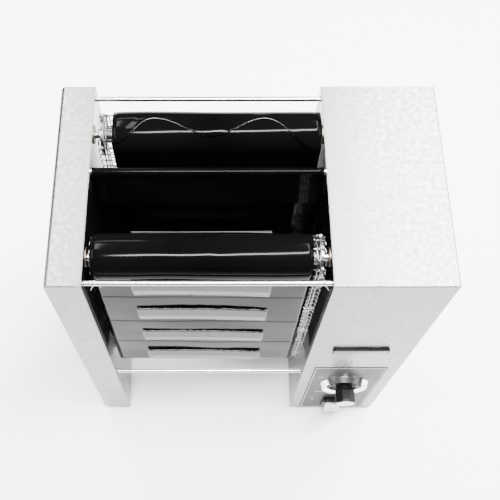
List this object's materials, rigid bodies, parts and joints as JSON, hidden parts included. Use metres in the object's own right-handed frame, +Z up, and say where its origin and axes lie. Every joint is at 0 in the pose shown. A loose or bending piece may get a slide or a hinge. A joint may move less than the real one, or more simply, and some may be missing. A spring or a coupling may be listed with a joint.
{
  "type": "vertical contact conveyor toaster",
  "caption": "Counter-top contact toaster for bun halves: two vertical belts press the buns on a heated central platen between a slim end housing and a control housing with dial and rocker.",
  "frame": {"origin": "centre of the overall box, on the table under the feet", "axes": "+X to the right seen from the control side, +Y to the back, +Z up"},
  "size_m": [0.477, 0.3216, 0.6098],
  "materials": {
    "stainless_sheet": "fine vertical brushing, half bright",
    "black_lining": "black non-stick coating",
    "panel_grey": "satin grey with thin pale lines",
    "badge_black": "gloss black, left bare",
    "bright_steel": "bright drawn bar",
    "belt_wire": "bright wire",
    "sprocket_steel": "plain turned steel",
    "release_cloth": "coated glass cloth, smooth and slightly oily",
    "plated_sheet": "plain folded sheet",
    "cast_platen": "cast and machined",
    "bush_bronze": "sintered",
    "chain_steel": "oiled roller chain",
    "motor_black": "satin black",
    "bright_trim": "polished pressing",
    "dial_black": "satin black with pale figures",
    "knob_black": "moulded, with a bright cap",
    "switch_black": "moulded",
    "rocker_white": "moulded",
    "lamp_lens": "clear red moulding",
    "moulded_black": "moulded",
    "moulded_pale": "moulded",
    "lead_insulation": "silicone sleeved",
    "capillary_copper": "drawn copper",
    "foot_rubber": "moulded"
  },
  "bodies": {
    "frame": {"left_end_cover": "stainless_sheet", "control_housing_shell": "stainless_sheet", "left_inner_plate": "stainless_sheet", "control_inner_plate": "stainless_sheet", "control_rear_panel": "stainless_sheet", "control_base_pan": "stainless_sheet", "slot_guard_left": "black_lining", "slot_guard_right": "black_lining", "control_label_plate": "panel_grey", "badge_plate": "badge_black", "tie_rods": "bright_steel", "rod_spring_clips": "bright_steel", "cover_screws": "bright_steel", "tie_rod_nuts": "bright_steel", "release_sheet_bar": "bright_steel", "belt_support_bars": "bright_steel", "heating_element": "bright_steel", "front_wire_belt": "belt_wire", "rear_wire_belt": "belt_wire", "front_belt_wrap": "release_cloth", "rear_belt_wrap": "release_cloth", "platen_release_sheet": "release_cloth", "front_wrap_bands": "release_cloth", "rear_wrap_bands": "release_cloth", "front_backing_plate": "plated_sheet", "rear_backing_plate": "plated_sheet", "platen_brackets": "plated_sheet", "motor_bracket": "plated_sheet", "tensioner_bracket": "plated_sheet", "platen_front_half": "cast_platen", "platen_rear_half": "cast_platen", "shaft_bushes": "bush_bronze", "drive_chain": "chain_steel", "gear_motor": "motor_black", "dial_bezel": "bright_trim", "dial_plate": "dial_black", "switch_frame": "switch_black", "pilot_lamp": "lamp_lens", "thermostat_body": "moulded_black", "fan_frame": "moulded_black", "cable_gland": "moulded_black", "terminal_block": "moulded_pale", "wiring_leads": "lead_insulation", "capillary_tube": "capillary_copper", "rubber_feet": "foot_rubber"},
    "front_drive": {"front_drive_shaft": "bright_steel", "front_drive_sprockets": "sprocket_steel", "front_chain_sprocket": "sprocket_steel"},
    "rear_drive": {"rear_drive_shaft": "bright_steel", "rear_drive_sprockets": "sprocket_steel", "rear_chain_sprocket": "sprocket_steel"},
    "front_idler": {"front_idler_shaft": "bright_steel", "front_idler_sprockets": "sprocket_steel"},
    "rear_idler": {"rear_idler_shaft": "bright_steel", "rear_idler_sprockets": "sprocket_steel"},
    "motor_output": {"motor_sprocket": "sprocket_steel"},
    "tensioner_wheel": {"chain_idler": "sprocket_steel"},
    "thermostat_knob": {"control_knob": "knob_black"},
    "power_rocker": {"switch_rocker": "rocker_white"},
    "fan_wheel": {"fan_rotor": "moulded_black"}
  },
  "joints": [
    {"name": "front_drive_spin", "type": "hinge", "parent": "frame", "child": "front_drive", "pos_m": [0, -0.0827, 0.269], "axis": [1, 0, 0], "continuous": true, "deforming": ["front_wire_belt", "drive_chain"]},
    {"name": "rear_drive_spin", "type": "hinge", "parent": "frame", "child": "rear_drive", "pos_m": [0, 0.0858, 0.269], "axis": [1, 0, 0], "continuous": true, "deforming": ["rear_wire_belt"]},
    {"name": "front_idler_spin", "type": "hinge", "parent": "frame", "child": "front_idler", "pos_m": [0, -0.0827, 0.582], "axis": [1, 0, 0], "continuous": true},
    {"name": "rear_idler_spin", "type": "hinge", "parent": "frame", "child": "rear_idler", "pos_m": [0, 0.0858, 0.582], "axis": [1, 0, 0], "continuous": true},
    {"name": "motor_spin", "type": "hinge", "parent": "frame", "child": "motor_output", "pos_m": [0.1085, -0.0052, 0.389], "axis": [1, 0, 0], "continuous": true},
    {"name": "tensioner_spin", "type": "hinge", "parent": "frame", "child": "tensioner_wheel", "pos_m": [0.1085, 0.1268, 0.293], "axis": [1, 0, 0], "continuous": true},
    {"name": "knob_turn", "type": "hinge", "parent": "frame", "child": "thermostat_knob", "pos_m": [0.166, -0.1252, 0.179], "axis": [0, 1, 0], "range_deg": [0, 270]},
    {"name": "rocker_tilt", "type": "hinge", "parent": "frame", "child": "power_rocker", "pos_m": [0.1615, -0.127, 0.064], "axis": [1, 0, 0], "range_deg": [0, 24]},
    {"name": "fan_spin", "type": "hinge", "parent": "frame", "child": "fan_wheel", "pos_m": [0.166, 0.1248, 0.203], "axis": [0, 1, 0], "continuous": true}
  ],
  "couplings": [
    {"joint": "rear_drive_spin", "follows": "front_drive_spin", "ratio": -1},
    {"joint": "front_idler_spin", "follows": "front_drive_spin", "ratio": 1},
    {"joint": "rear_idler_spin", "follows": "front_drive_spin", "ratio": -1},
    {"joint": "motor_spin", "follows": "front_drive_spin", "ratio": 1.3333},
    {"joint": "tensioner_spin", "follows": "front_drive_spin", "ratio": 1.6}
  ]
}
